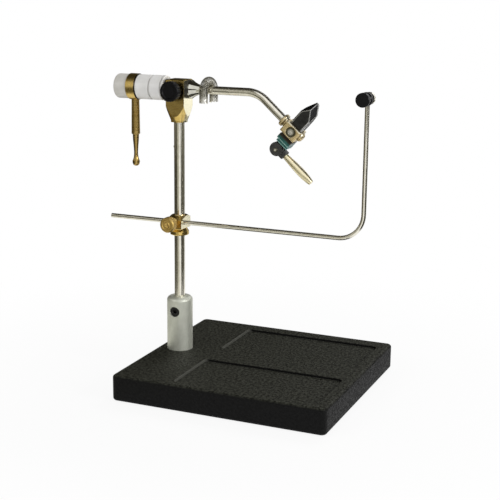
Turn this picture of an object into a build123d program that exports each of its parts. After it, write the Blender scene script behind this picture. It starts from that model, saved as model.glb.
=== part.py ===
from build123d import *

import os
from math import cos, pi, radians, sin, sqrt, tan

# A rotary fly tying vise on a pedestal base, in millimetres.
# The origin is the middle of the underside, +X points to the jaws, +Y to the back, +Z up.
# Heights named "rise" are measured up from the base's top, places named "reach" from the stem's axis.

# Clearances and overrun
running_fit = 0.05
fixed_fit = 0.03
face_gap = 0.1
tip_gap = 0.3
overrun = 2.0

# Base
base_length = 197.3
base_width = 190.0
base_height = 24.0
base_corner = 5.0
base_round = 2.5
tray_length = 131.0
tray_wall = 33.0
tray_depth = 2.5
tray_corner = 5.0
tray_round = 0.8
tray_right_margin = 10.65
front_tray_margin = 8.0
back_tray_margin = 15.0
pad_thickness = 2.0
pad_proud = 0.8
pad_inset = 8.0

# Stem socket with its bolt and clamping screw
stem_inset = 19.65
socket_diameter = 23.6
socket_height = 50.0
socket_round = 3.4
bolt_diameter = 6.0
bolt_head_diameter = 11.0
bolt_head_height = 5.0
bolt_engagement = 7.0
bolt_hex = 5.0
socket_screw_rise = 37.1
socket_screw_diameter = 9.5
socket_screw_recess = 1.8
socket_screw_hex = 4.0
hex_depth = 2.5

# Stem
stem_diameter = 9.525
stem_foot_rise = 11.0
stem_top_gap = 4.7
stem_chamfer = 0.6
stem_pin_diameter = 2.0
stem_pin_drop = 22.5
stem_pin_proud = 0.8
stem_pin_depth = 3.0

# Head block with its bearings and brake
head_side = 17.8
head_height = 37.8
head_axis_depth = 8.4
head_foot_radius = 7.45
head_foot_band = 1.5
head_cone_height = 12.8
head_chamfer = 0.8
head_screw_height = 9.2
head_screw_diameter = 5.0
head_screw_recess = 0.6
head_screw_hex = 2.5
axis_rise = 240.2
bushing_radius = 6.5
bushing_flange_radius = 8.3
bushing_flange = 2.7
brake_diameter = 5.8
brake_length = 2.8
tension_drop = 1.2
tension_stud_diameter = 6.0
tension_stud_depth = 7.0
tension_hub_radius = 5.0
tension_hub_length = 4.4
tension_knob_radius = 9.0
tension_knob_length = 7.0
tension_knob_gap = 0.5
tension_knob_chamfer = 0.9
tension_recess_radius = 6.6
tension_recess_depth = 0.8
tension_flutes = 20
tension_flute_radius = 1.0

# Rotary shaft and the pieces on it
shaft_diameter = 9.5
shaft_flange_radius = 8.2
shaft_flange = 1.2
shaft_nose_radius = 4.1
shaft_nose_length = 8.3
shaft_nose_sag = 0.5
shaft_end_reach = 56.5
sleeve_radius = 11.0
sleeve_length = 27.7
sleeve_chamfer = 0.6
sleeve_groove_depth = 1.2
sleeve_groove_width = 1.7
sleeve_groove_shares = (0.043, 0.46)
ring_radius = 11.7
ring_length = 9.4
ring_chamfer = 0.7
cap_length = 12.7
cap_round = 2.5
end_screw_diameter = 4.0
end_screw_depth = 10.0
end_screw_head_diameter = 7.4
end_screw_head = 2.6
end_screw_recess = 3.0
end_screw_hex = 2.5
end_screw_hex_depth = 1.4

# Crank handle, hung under the ring
crank_top_diameter = 7.0
crank_foot_diameter = 7.8
crank_length = 32.1
crank_seat_radius = 10.9
crank_spigot_diameter = 5.0
crank_spigot_length = 4.6
crank_chamfer = 0.5
grip_length = 29.2
grip_top_diameter = 5.7
grip_waist_diameter = 4.1
grip_flare_diameter = 6.7
grip_flare_angle = 30.0
grip_waist_share = 0.42
grip_flare_share = 0.84
grip_spigot_diameter = 3.5
grip_spigot_length = 8.0

# Jaw arm
arm_diameter = 7.2
arm_seat = 7.0
arm_corner_reach = 75.8
arm_bend_radius = 25.5
arm_drop = 45.85
arm_shift = 0.9

# Coil ring for thread on the arm
spring_reach = 28.9
spring_bow_radius = 7.9
spring_leg = 10.8
spring_tube_radius = 3.9
spring_wire = 0.9
spring_coils = 17
spring_yaw = 9.0

# Jaw holder and screw, measured along the jaws, across them and towards the front
jaw_angle = 48.0
holder_half_length = 5.3
holder_arm_side = 8.65
holder_end_side = 7.35
holder_half_depth = 7.5
holder_neck = 2.6
holder_collar = 3.0
holder_collar_radius = 5.8
holder_end_boss = 2.8
holder_boss_radius = 4.4
holder_chamfer = 0.7
jaw_screw_diameter = 4.0
jaw_screw_head_diameter = 8.0
jaw_screw_head = 2.0
jaw_screw_recess = 1.7
jaw_screw_hex = 3.0
jaw_screw_hex_depth = 1.2
jaw_screw_play = 0.35

# Jaws
jaw_arm_side = 6.65
jaw_end_side = 6.1
jaw_thickness = 4.5
jaw_half_gap = 0.05
jaw_bevel = 0.9
jaw_arm_corner = 18.9
jaw_arm_shoulder = 23.9
jaw_shoulder_inset = 1.15
jaw_end_shoulder = 25.0
jaw_tip = 32.9
jaw_tip_offset = 0.4
jaw_tip_half_width = 1.3
jaw_tip_thickness = 0.9
jaw_ridge_start = 25.6
jaw_ridge_offset = 0.7
jaw_arm_runout = 18.5
jaw_end_runout = 17.0
jaw_side_play = 0.1
jaw_rock_play = 0.4
jaw_relief_angle = 2.5
tail_half_width = 4.3
tail_length = 12.0

# Cam seat behind the holder
seat_neck_length = 1.8
seat_neck_half_width = 5.6
seat_neck_half_depth = 6.2
seat_flange_length = 4.65
seat_flange_arm_side = 6.5
seat_flange_end_side = 7.0
seat_flange_half_depth = 7.25
seat_foot_length = 2.85
seat_foot_arm_side = 5.3
seat_foot_end_side = 7.2
seat_foot_half_depth = 6.2
seat_floor = 2.2
seat_round = 0.8
tail_play = 0.3

# Draw bar, cam and lever
bar_half_height = 2.9
bar_half_thickness = 1.5
bar_eye_radius = 3.3
wedge_length = 3.4
wedge_angle = 20.0
wedge_gap = 0.45
wedge_travel = 0.95
pin_diameter = 3.6
pin_proud = 0.3
cam_pin_drop = 22.1
cam_radius = 6.2
cam_half_depth = 5.2
cam_slot_play = 0.15
cam_neck_length = 9.4
cam_neck_half_width = 3.3
cam_neck_half_depth = 3.8
cam_neck_solid = 3.6
cam_round = 0.8
lever_offset = 1.0
lever_length = 32.4
lever_start_diameter = 5.2
lever_belly_diameter = 7.1
lever_taper_diameter = 6.9
lever_end_diameter = 4.6
lever_belly_share = 0.45
lever_taper_share = 0.75
lever_spigot_diameter = 3.4
lever_spigot_length = 3.0
lever_hole_diameter = 1.6
lever_hole_depth = 4.0

# Collar, clamp and thumb screw on the stem
collar_foot_rise = 108.2
collar_height = 6.4
collar_radius = 8.5
collar_top_bevel_width = 2.0
collar_top_bevel_height = 3.0
collar_foot_chamfer = 0.6
collar_screw_diameter = 3.5
collar_screw_hex = 1.5
clamp_height = 11.7
clamp_half_width = 7.25
clamp_front = 11.5
clamp_back = 7.5
clamp_cone_height = 2.6
clamp_cone_radius = 7.0
clamp_chamfer = 0.5
thumb_head_diameter = 13.8
thumb_head_length = 7.4
thumb_neck_diameter = 8.0
thumb_neck_length = 6.5
thumb_neck_gap = 0.5
thumb_shank_diameter = 5.0
thumb_ring_width = 1.4
thumb_ring_depth = 0.6
thumb_dimple_radius = 2.2
thumb_round = 0.9

# Cradle rod and roller
rod_diameter = 3.97
rod_offset = 7.4
rod_rise_in_clamp = 6.5
rod_tail_reach = 66.0
rod_corner_reach = 176.5
rod_bend_radius = 22.0
roller_rise = 240.5
eye_diameter = 7.0
eye_screw_diameter = 3.0
roller_length = 12.6
roller_near_radius = 6.0
roller_far_radius = 5.8
roller_groove_radius = 3.5
roller_near_flange = 3.8
roller_far_flange = 3.4
roller_chamfer = 0.5
roller_screw_depth = 9.0
roller_head_diameter = 10.5
roller_head = 3.6
roller_head_round = 0.8

# Places worked out from the sizes
stem_radius = stem_diameter / 2
stem_bore = stem_radius + running_fit
shaft_radius = shaft_diameter / 2
arm_radius = arm_diameter / 2
rod_radius = rod_diameter / 2
stem_x = stem_inset - base_length / 2
axis_z = base_height + axis_rise
tension_z = axis_z - tension_drop
head_half = head_side / 2
head_top_rise = axis_rise + head_axis_depth
head_foot_rise = head_top_rise - head_height
head_screw_rise = head_foot_rise + head_screw_height
stem_top_rise = axis_rise - bushing_radius - stem_top_gap
stem_pin_rise = head_foot_rise - stem_pin_drop
collar_top_rise = collar_foot_rise + collar_height
clamp_foot_rise = collar_top_rise + face_gap
rod_rise = clamp_foot_rise + rod_rise_in_clamp
sleeve_reach = head_half + bushing_flange + face_gap
ring_reach = sleeve_reach + sleeve_length
cap_reach = ring_reach + ring_length
flange_reach = head_half + bushing_flange + face_gap
crank_reach = ring_reach + ring_length / 2
jaw_turn = radians(jaw_angle)
along = Vector(cos(jaw_turn), 0, sin(jaw_turn))
across = Vector(-sin(jaw_turn), 0, cos(jaw_turn))
arm_corner = Vector(stem_x + arm_corner_reach, 0, axis_z)
jaw_centre = arm_corner - across * arm_drop - along * arm_shift
seat_end = holder_half_length + seat_neck_length + seat_flange_length + seat_foot_length
cam_offset = wedge_travel

# Planes and axes: a turned piece is drawn beside its axis, in (radius, height) or (reach, radius)
front = Vector(0, -1, 0)
stem_plane = Plane(origin=(stem_x, 0, base_height), x_dir=(1, 0, 0), z_dir=front)
stem_axis = Axis((stem_x, 0, 0), (0, 0, 1))
shaft_plane = Plane(origin=(stem_x, 0, axis_z), x_dir=(1, 0, 0), z_dir=front)
shaft_axis = Axis((stem_x, 0, axis_z), (1, 0, 0))
jaw_plane = Plane(origin=jaw_centre, x_dir=along, z_dir=front)
rock_plane = Plane(origin=jaw_centre, x_dir=along, z_dir=-across)


def face(plane, *points):
    """The face inside straight lines through points of a plane."""
    with BuildSketch(plane) as sketch:
        with BuildLine():
            Polyline(*points, close=True)
        make_face()
    return sketch.sketch


def disc(plane, radius):
    """A round face on a plane."""
    with BuildSketch(plane) as sketch:
        Circle(radius)
    return sketch.sketch


def drill(plane, radius, depth):
    """Cuts a round hole from a plane along its normal."""
    extrude(disc(plane, radius), amount=depth, mode=Mode.SUBTRACT)


def hex_socket(plane, width, depth):
    """Cuts a hexagon socket from a plane along its normal."""
    with BuildSketch(plane) as sketch:
        RegularPolygon(width / 2, 6, major_radius=False)
    extrude(sketch.sketch, amount=depth, mode=Mode.SUBTRACT)


def level(rise):
    """A level plane on the stem's axis."""
    return Plane(origin=(stem_x, 0, base_height + rise))


def facing(point, direction):
    """A plane at a point whose normal is the direction."""
    return Plane(origin=point, z_dir=direction)


def jaw_section(distance):
    """A plane square to the jaws, in (across, to the front)."""
    return Plane(origin=jaw_centre + along * distance, x_dir=across, z_dir=along)


def turned_front(x, z):
    """A plane beside a front to back axis, in (to the front, radius)."""
    return Plane(origin=(x, 0, z), x_dir=front, z_dir=(1, 0, 0))


def keep(builder, name):
    """Labels a finished piece and writes it."""
    builder.part.label = name
    export_step(builder.part, f"parts/{name}.step")


os.makedirs("parts", exist_ok=True)

# Base plate: rounded slab with two trays, a recess for the pad and the bolt's counterbore
plate_foot = pad_proud
plate_height = base_height - plate_foot
pad_recess = pad_thickness - pad_proud
bolt_seat = pad_thickness + tip_gap + bolt_head_height
tray_x = base_length / 2 - tray_right_margin - tray_length / 2
tray_width = (base_width - front_tray_margin - back_tray_margin - tray_wall) / 2
front_tray_y = front_tray_margin + tray_width / 2 - base_width / 2
back_tray_y = base_width / 2 - back_tray_margin - tray_width / 2
with BuildPart() as base_plate:
    with BuildSketch(Plane.XY.offset(plate_foot)):
        RectangleRounded(base_length, base_width, base_corner)
    extrude(amount=plate_height)
    rims = base_plate.faces().sort_by(Axis.Z)
    fillet(rims[0].edges() + rims[-1].edges(), radius=base_round)
    with BuildSketch(Plane.XY.offset(base_height)):
        with Locations((tray_x, front_tray_y), (tray_x, back_tray_y)):
            RectangleRounded(tray_length, tray_width, tray_corner)
    extrude(amount=-tray_depth, mode=Mode.SUBTRACT)
    tray_rims = base_plate.faces().filter_by(Plane.XY).sort_by(Axis.Z)[-1].inner_wires().edges()
    fillet(tray_rims, radius=tray_round)
    with BuildSketch(Plane.XY.offset(plate_foot)):
        RectangleRounded(base_length - 2 * pad_inset, base_width - 2 * pad_inset, base_corner)
    extrude(amount=pad_recess, mode=Mode.SUBTRACT)
    drill(level(-base_height), bolt_head_diameter / 2 + face_gap, bolt_seat)
    drill(level(-base_height), bolt_diameter / 2 + fixed_fit, base_height + overrun)
keep(base_plate, "base_plate")

with BuildPart() as base_pad:
    with BuildSketch():
        RectangleRounded(
            base_length - 2 * (pad_inset + face_gap),
            base_width - 2 * (pad_inset + face_gap),
            base_corner - face_gap,
        )
    extrude(amount=pad_thickness)
keep(base_pad, "base_pad")

# Stem socket: turned post with a rounded crown
bolt_top = bolt_engagement
with BuildPart() as stem_socket:
    post = face(
        stem_plane, (0, 0), (socket_diameter / 2, 0), (socket_diameter / 2, socket_height), (0, socket_height)
    )
    revolve(post, stem_axis)
    fillet(stem_socket.edges().filter_by(GeomType.CIRCLE).sort_by(Axis.Z)[-1], radius=socket_round)
    drill(level(stem_foot_rise - tip_gap), stem_bore, socket_height)
    drill(level(-overrun), bolt_diameter / 2 + fixed_fit, bolt_top + overrun)
    screw_centre = (stem_x, 0, base_height + socket_screw_rise)
    drill(facing(screw_centre, front), socket_screw_diameter / 2 + fixed_fit, socket_diameter)
keep(stem_socket, "stem_socket")

with BuildPart() as socket_bolt:
    head_foot = bolt_seat - bolt_head_height - base_height
    shank = face(
        stem_plane,
        (0, head_foot),
        (bolt_head_diameter / 2, head_foot),
        (bolt_head_diameter / 2, head_foot + bolt_head_height),
        (bolt_diameter / 2, head_foot + bolt_head_height),
        (bolt_diameter / 2, bolt_top - tip_gap),
        (0, bolt_top - tip_gap),
    )
    revolve(shank, stem_axis)
    hex_socket(level(head_foot), bolt_hex, hex_depth)
keep(socket_bolt, "socket_bolt")

with BuildPart() as socket_screw:
    tip = stem_radius + tip_gap
    socket_screw_end = socket_diameter / 2 - socket_screw_recess
    screw_plane = facing((stem_x, -tip, base_height + socket_screw_rise), front)
    extrude(disc(screw_plane, socket_screw_diameter / 2), amount=socket_screw_end - tip)
    hex_socket(screw_plane.offset(socket_screw_end - tip), socket_screw_hex, -hex_depth)
keep(socket_screw, "socket_screw")

# Stem and its pin
pin_reach = stem_radius + stem_pin_proud
pin_centre = Vector(stem_x, 0, base_height + stem_pin_rise)
with BuildPart() as stem:
    bar = face(
        stem_plane,
        (0, stem_foot_rise),
        (stem_radius, stem_foot_rise),
        (stem_radius, stem_top_rise),
        (0, stem_top_rise),
    )
    revolve(bar, stem_axis)
    chamfer(stem.edges().filter_by(GeomType.CIRCLE), length=stem_chamfer)
    drill(
        facing(pin_centre - Vector(pin_reach - stem_pin_depth, 0, 0), (-1, 0, 0)),
        stem_pin_diameter / 2 + fixed_fit,
        stem_pin_depth,
    )
keep(stem, "stem")

with BuildPart() as stem_pin:
    pin_plane = facing(pin_centre - Vector(pin_reach - stem_pin_depth, 0, 0), (-1, 0, 0))
    extrude(disc(pin_plane, stem_pin_diameter / 2), amount=stem_pin_depth)
    fillet(stem_pin.edges().sort_by(Axis.X)[0], radius=stem_pin_proud / 2)
keep(stem_pin, "stem_pin")

# Head block: square bar turned to a cone below, bored for the stem, the shaft and the brake
head_corner = head_half * sqrt(2)
cone_rise = head_foot_rise + head_foot_band
cone_wide = head_corner + overrun
cone_slope = (head_corner - head_foot_radius) / head_cone_height
head_screw_face = head_foot_radius + (head_screw_rise - cone_rise) * cone_slope
with BuildPart() as head_block:
    with BuildSketch(level(head_foot_rise)):
        Rectangle(head_side, head_side)
    extrude(amount=head_top_rise - head_foot_rise)
    chamfer(head_block.faces().sort_by(Axis.Z)[-1].edges(), length=head_chamfer)
    waste = face(
        stem_plane,
        (head_foot_radius, head_foot_rise - overrun),
        (head_foot_radius, cone_rise),
        (cone_wide, cone_rise + (cone_wide - head_foot_radius) / cone_slope),
        (cone_wide, head_foot_rise - overrun),
    )
    revolve(waste, stem_axis, mode=Mode.SUBTRACT)
    drill(level(head_foot_rise - overrun), stem_radius + fixed_fit, stem_top_rise - head_foot_rise + overrun)
    shaft_bore_plane = facing((stem_x - head_side, 0, axis_z), (1, 0, 0))
    drill(shaft_bore_plane, bushing_radius + fixed_fit, 2 * head_side)
    drill(facing((stem_x, 0, tension_z), front), tension_stud_diameter / 2 + running_fit, head_side)
    drill(
        facing((stem_x, 0, base_height + head_screw_rise), (0, 1, 0)),
        head_screw_diameter / 2 + fixed_fit,
        head_side,
    )
keep(head_block, "head_block")

with BuildPart() as head_set_screw:
    set_plane = facing((stem_x, stem_radius + face_gap, base_height + head_screw_rise), (0, 1, 0))
    set_length = head_screw_face - head_screw_recess - stem_radius - face_gap
    extrude(disc(set_plane, head_screw_diameter / 2), amount=set_length)
    hex_socket(set_plane.offset(set_length), head_screw_hex, -set_length / 2)
keep(head_set_screw, "head_set_screw")

# Bushings: flanged, one from each side of the head, with the brake between them
bushing_inner = brake_diameter / 2 + tip_gap
for side, name in ((1, "right_bushing"), (-1, "left_bushing")):
    with BuildPart() as bushing:
        ring = face(
            shaft_plane,
            (side * bushing_inner, shaft_radius + running_fit),
            (side * bushing_inner, bushing_radius),
            (side * head_half, bushing_radius),
            (side * head_half, bushing_flange_radius),
            (side * (head_half + bushing_flange), bushing_flange_radius),
            (side * (head_half + bushing_flange), shaft_radius + running_fit),
        )
        revolve(ring, shaft_axis)
    keep(bushing, name)

stud_tip = shaft_radius + running_fit + brake_length + face_gap
with BuildPart() as brake_pad:
    brake_plane = facing((stem_x, 0, tension_z), front)
    extrude(disc(brake_plane, brake_diameter / 2), amount=stud_tip - face_gap)
    drill(shaft_bore_plane, shaft_radius + running_fit, 2 * head_side)
keep(brake_pad, "brake_pad")

# Tension knob: fluted, dished on its face, on a stud
hub_back = head_half + tension_knob_gap
knob_back = hub_back + tension_hub_length
knob_face = knob_back + tension_knob_length
stud_end = hub_back + tension_stud_depth
tension_plane = turned_front(stem_x, tension_z)
tension_axis = Axis((stem_x, 0, tension_z), (0, -1, 0))
with BuildPart() as tension_knob:
    body = face(
        tension_plane,
        (hub_back, 0),
        (hub_back, tension_hub_radius),
        (knob_back, tension_hub_radius),
        (knob_back, tension_knob_radius - tension_knob_chamfer),
        (knob_back + tension_knob_chamfer, tension_knob_radius),
        (knob_face - tension_knob_chamfer, tension_knob_radius),
        (knob_face, tension_knob_radius - tension_knob_chamfer),
        (knob_face, tension_recess_radius),
        (knob_face - tension_recess_depth, tension_recess_radius - tension_recess_depth),
        (knob_face - tension_recess_depth, 0),
    )
    revolve(body, tension_axis)
    with BuildSketch(facing((stem_x, -knob_back, tension_z), front)):
        with PolarLocations(tension_knob_radius + tension_flute_radius / 2, tension_flutes):
            Circle(tension_flute_radius)
    extrude(amount=tension_knob_length, mode=Mode.SUBTRACT)
    drill(facing((stem_x, 0, tension_z), front), tension_stud_diameter / 2 + fixed_fit, stud_end)
keep(tension_knob, "tension_knob")

with BuildPart() as tension_screw:
    stud_plane = facing((stem_x, -stud_tip, tension_z), front)
    extrude(disc(stud_plane, tension_stud_diameter / 2), amount=stud_end - stud_tip)
keep(tension_screw, "tension_screw")

# Rotary shaft: turned, with a flange and a hollow-sided nose that holds the arm
nose_reach = flange_reach + shaft_flange
nose_end = nose_reach + shaft_nose_length
with BuildPart() as rotary_shaft:
    with BuildSketch(shaft_plane):
        with BuildLine():
            Polyline(
                (nose_end, shaft_nose_radius),
                (nose_end, 0),
                (-shaft_end_reach, 0),
                (-shaft_end_reach, shaft_radius),
                (flange_reach, shaft_radius),
                (flange_reach, shaft_flange_radius),
                (nose_reach, shaft_flange_radius),
            )
            SagittaArc((nose_reach, shaft_flange_radius), (nose_end, shaft_nose_radius), -shaft_nose_sag)
        make_face()
    revolve(axis=shaft_axis)
    drill(facing((stem_x + nose_end - arm_seat, 0, axis_z), (1, 0, 0)), arm_radius + fixed_fit, arm_seat)
    drill(
        facing((stem_x - shaft_end_reach + end_screw_depth, 0, axis_z), (-1, 0, 0)),
        end_screw_diameter / 2 + fixed_fit,
        end_screw_depth,
    )
keep(rotary_shaft, "rotary_shaft")

# Sleeve with two grooves
bore_radius = shaft_radius + fixed_fit
with BuildPart() as rotor_sleeve:
    tube = face(
        shaft_plane,
        (-sleeve_reach, bore_radius),
        (-sleeve_reach, sleeve_radius - sleeve_chamfer),
        (-sleeve_reach - sleeve_chamfer, sleeve_radius),
        (sleeve_chamfer - ring_reach, sleeve_radius),
        (-ring_reach, sleeve_radius - sleeve_chamfer),
        (-ring_reach, bore_radius),
    )
    revolve(tube, shaft_axis)
    for share in sleeve_groove_shares:
        groove_reach = sleeve_reach + share * sleeve_length
        groove = face(
            shaft_plane,
            (-groove_reach, sleeve_radius + overrun),
            (-groove_reach, sleeve_radius - sleeve_groove_depth),
            (-groove_reach - sleeve_groove_width, sleeve_radius - sleeve_groove_depth),
            (-groove_reach - sleeve_groove_width, sleeve_radius + overrun),
        )
        revolve(groove, shaft_axis, mode=Mode.SUBTRACT)
keep(rotor_sleeve, "rotor_sleeve")

# Crank ring with a spot face and a hole for the crank
crank_x = stem_x - crank_reach
crank_top = axis_z - crank_seat_radius
with BuildPart() as crank_ring:
    hoop = face(
        shaft_plane,
        (-ring_reach, bore_radius),
        (-ring_reach, ring_radius - ring_chamfer),
        (-ring_reach - ring_chamfer, ring_radius),
        (-cap_reach + ring_chamfer, ring_radius),
        (-cap_reach, ring_radius - ring_chamfer),
        (-cap_reach, bore_radius),
    )
    revolve(hoop, shaft_axis)
    crank_seat = facing((crank_x, 0, crank_top), (0, 0, -1))
    drill(crank_seat, crank_top_diameter / 2 + fixed_fit, ring_radius)
    spigot_end = crank_seat.offset(-crank_spigot_length - face_gap)
    drill(spigot_end, crank_spigot_diameter / 2 + fixed_fit, ring_radius)
keep(crank_ring, "crank_ring")

crank_plane = Plane(origin=(crank_x, 0, crank_top), x_dir=(1, 0, 0), z_dir=front)
crank_axis = Axis((crank_x, 0, crank_top), (0, 0, 1))
with BuildPart() as crank_arm:
    shank = face(
        crank_plane,
        (0, crank_spigot_length),
        (crank_spigot_diameter / 2, crank_spigot_length),
        (crank_spigot_diameter / 2, 0),
        (crank_top_diameter / 2, 0),
        (crank_foot_diameter / 2, crank_chamfer - crank_length),
        (crank_foot_diameter / 2 - crank_chamfer, -crank_length),
        (0, -crank_length),
    )
    revolve(shank, crank_axis)
    drill(
        facing((crank_x, 0, crank_top - crank_length), (0, 0, 1)),
        grip_spigot_diameter / 2 + fixed_fit,
        grip_spigot_length + face_gap,
    )
keep(crank_arm, "crank_arm")

# Crank grip: waisted, flared to a rim and rounded at its end
grip_waist = -crank_length - grip_waist_share * grip_length
grip_flare = -crank_length - grip_flare_share * grip_length
grip_end = -crank_length - grip_length
with BuildPart() as crank_grip:
    with BuildSketch(crank_plane):
        with BuildLine():
            Polyline(
                (0, grip_end),
                (0, grip_spigot_length - crank_length),
                (grip_spigot_diameter / 2, grip_spigot_length - crank_length),
                (grip_spigot_diameter / 2, -crank_length),
                (grip_top_diameter / 2, -crank_length),
            )
            Spline(
                (grip_top_diameter / 2, -crank_length),
                (grip_waist_diameter / 2, grip_waist),
                (grip_flare_diameter / 2, grip_flare),
                tangents=((0, -1), (sin(radians(grip_flare_angle)), -cos(radians(grip_flare_angle)))),
            )
            Spline(
                (grip_flare_diameter / 2, grip_flare),
                (0, grip_end),
                tangents=((0, -1), (-1, 0)),
            )
        make_face()
    revolve(axis=crank_axis)
keep(crank_grip, "crank_grip")

# End cap and its screw
cap_end = cap_reach + cap_length
screw_seat = cap_end - end_screw_recess
with BuildPart() as end_cap:
    cap = face(
        shaft_plane, (-cap_reach, 0), (-cap_reach, sleeve_radius), (-cap_end, sleeve_radius), (-cap_end, 0)
    )
    revolve(cap, shaft_axis)
    fillet(end_cap.edges().filter_by(GeomType.CIRCLE).sort_by(Axis.X)[0], radius=cap_round)
    drill(
        facing((stem_x - cap_reach, 0, axis_z), (-1, 0, 0)),
        bore_radius,
        shaft_end_reach + face_gap - cap_reach,
    )
    drill(facing((stem_x - cap_reach, 0, axis_z), (-1, 0, 0)), end_screw_diameter / 2 + fixed_fit, cap_end)
    head_pocket = facing((stem_x - screw_seat, 0, axis_z), (-1, 0, 0))
    drill(head_pocket, end_screw_head_diameter / 2 + face_gap, cap_end)
keep(end_cap, "end_cap")

with BuildPart() as end_screw:
    screw = face(
        shaft_plane,
        (-shaft_end_reach + end_screw_depth - face_gap, 0),
        (-shaft_end_reach + end_screw_depth - face_gap, end_screw_diameter / 2),
        (-screw_seat, end_screw_diameter / 2),
        (-screw_seat, end_screw_head_diameter / 2),
        (-screw_seat - end_screw_head, end_screw_head_diameter / 2),
        (-screw_seat - end_screw_head, 0),
    )
    revolve(screw, shaft_axis)
    head_top = facing((stem_x - screw_seat - end_screw_head, 0, axis_z), (1, 0, 0))
    hex_socket(head_top, end_screw_hex, end_screw_hex_depth)
keep(end_screw, "end_screw")

# Jaw arm: bent round bar from the shaft's nose to the holder
arm_start = Vector(stem_x + nose_end - arm_seat, 0, axis_z)
arm_line = jaw_centre + along * arm_shift
arm_boss_end = holder_arm_side + holder_neck + holder_collar
arm_end = arm_line + across * (arm_boss_end - arm_seat)
with BuildPart() as jaw_arm:
    with BuildLine() as arm_path:
        FilletPolyline(arm_start, arm_corner, arm_end, radius=arm_bend_radius)
    with BuildSketch(facing(arm_start, (1, 0, 0))):
        Circle(arm_radius)
    sweep(path=arm_path.line)
keep(jaw_arm, "jaw_arm")


# Coil spring bent to a bow, which hangs over the arm with a leg at each side
spring_drop = spring_bow_radius - spring_tube_radius - arm_radius - tip_gap
bow_run = pi * spring_bow_radius
spring_run = 2 * spring_leg + bow_run
spring_plane = Plane(
    origin=(stem_x + spring_reach, 0, axis_z - spring_drop),
    x_dir=(cos(radians(spring_yaw)), -sin(radians(spring_yaw)), 0),
)


def spring_point(turns):
    """A point of the spring's wire and the wire's direction there, after so many coils."""
    coil = spring_tube_radius - spring_wire / 2
    curl = 2 * pi * turns
    curl_rate = 2 * pi
    run_rate = spring_run / spring_coils
    past_leg = turns * run_rate - spring_leg
    turn = min(max(past_leg, 0), bow_run) / spring_bow_radius
    below_bow = min(past_leg, 0) - max(past_leg - bow_run, 0)
    stretch = 1 - coil * cos(curl) / spring_bow_radius if below_bow == 0 else 1
    outward = Vector(0, -cos(turn), sin(turn))
    onward = Vector(0, sin(turn), cos(turn))
    sideways = Vector(1, 0, 0)
    reach = spring_bow_radius - coil * cos(curl)
    point = Vector(0, 0, below_bow) + outward * reach + sideways * (coil * sin(curl))
    direction = (
        onward * (run_rate * stretch)
        + outward * (coil * sin(curl) * curl_rate)
        + sideways * (coil * cos(curl) * curl_rate)
    )
    heading = spring_plane.from_local_coords(direction) - spring_plane.origin
    return spring_plane.from_local_coords(point), heading.normalized()


def biarc_knee(start, start_way, end, end_way):
    """The point where two arcs that leave start and reach end in the given directions meet."""
    span = end - start
    both = start_way + end_way
    bend = 2 * (1 - start_way.dot(end_way))
    lead = (sqrt(span.dot(both) ** 2 + bend * span.dot(span)) - span.dot(both)) / bend
    before = start + start_way * lead
    after = end - end_way * lead
    return (before + after) / 2, (after - before).normalized()


# One wire, on two arcs for each half coil, with straight ends
half_coils = 2 * spring_coils
stations = [spring_point(step / 2) for step in range(half_coils + 1)]
with BuildPart() as material_spring:
    with BuildLine() as wire_path:
        first, first_way = stations[0]
        Line(first - first_way * spring_wire, first)
        for (start, start_way), (end, end_way) in zip(stations, stations[1:]):
            knee, knee_way = biarc_knee(start, start_way, end, end_way)
            TangentArc(start, knee, tangent=start_way)
            TangentArc(knee, end, tangent=knee_way)
        last, last_way = stations[-1]
        Line(last, last + last_way * spring_wire)
    with BuildSketch(facing(first - first_way * spring_wire, first_way)):
        Circle(spring_wire / 2)
    sweep(path=wire_path.line)
keep(material_spring, "material_spring")

# Least gap of the wire to itself, on points that lie over half a coil apart
wire_steps = 48
wire_points = [spring_point(step / wire_steps)[0] for step in range(spring_coils * wire_steps + 1)]
nearest = min(
    (wire_points[here] - wire_points[there]).length
    for here in range(len(wire_points))
    for there in range(here + wire_steps // 2, min(here + 2 * wire_steps, len(wire_points)))
)
print(f"coil spring: least gap of the wire to itself {nearest - spring_wire:.2f} mm")

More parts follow.
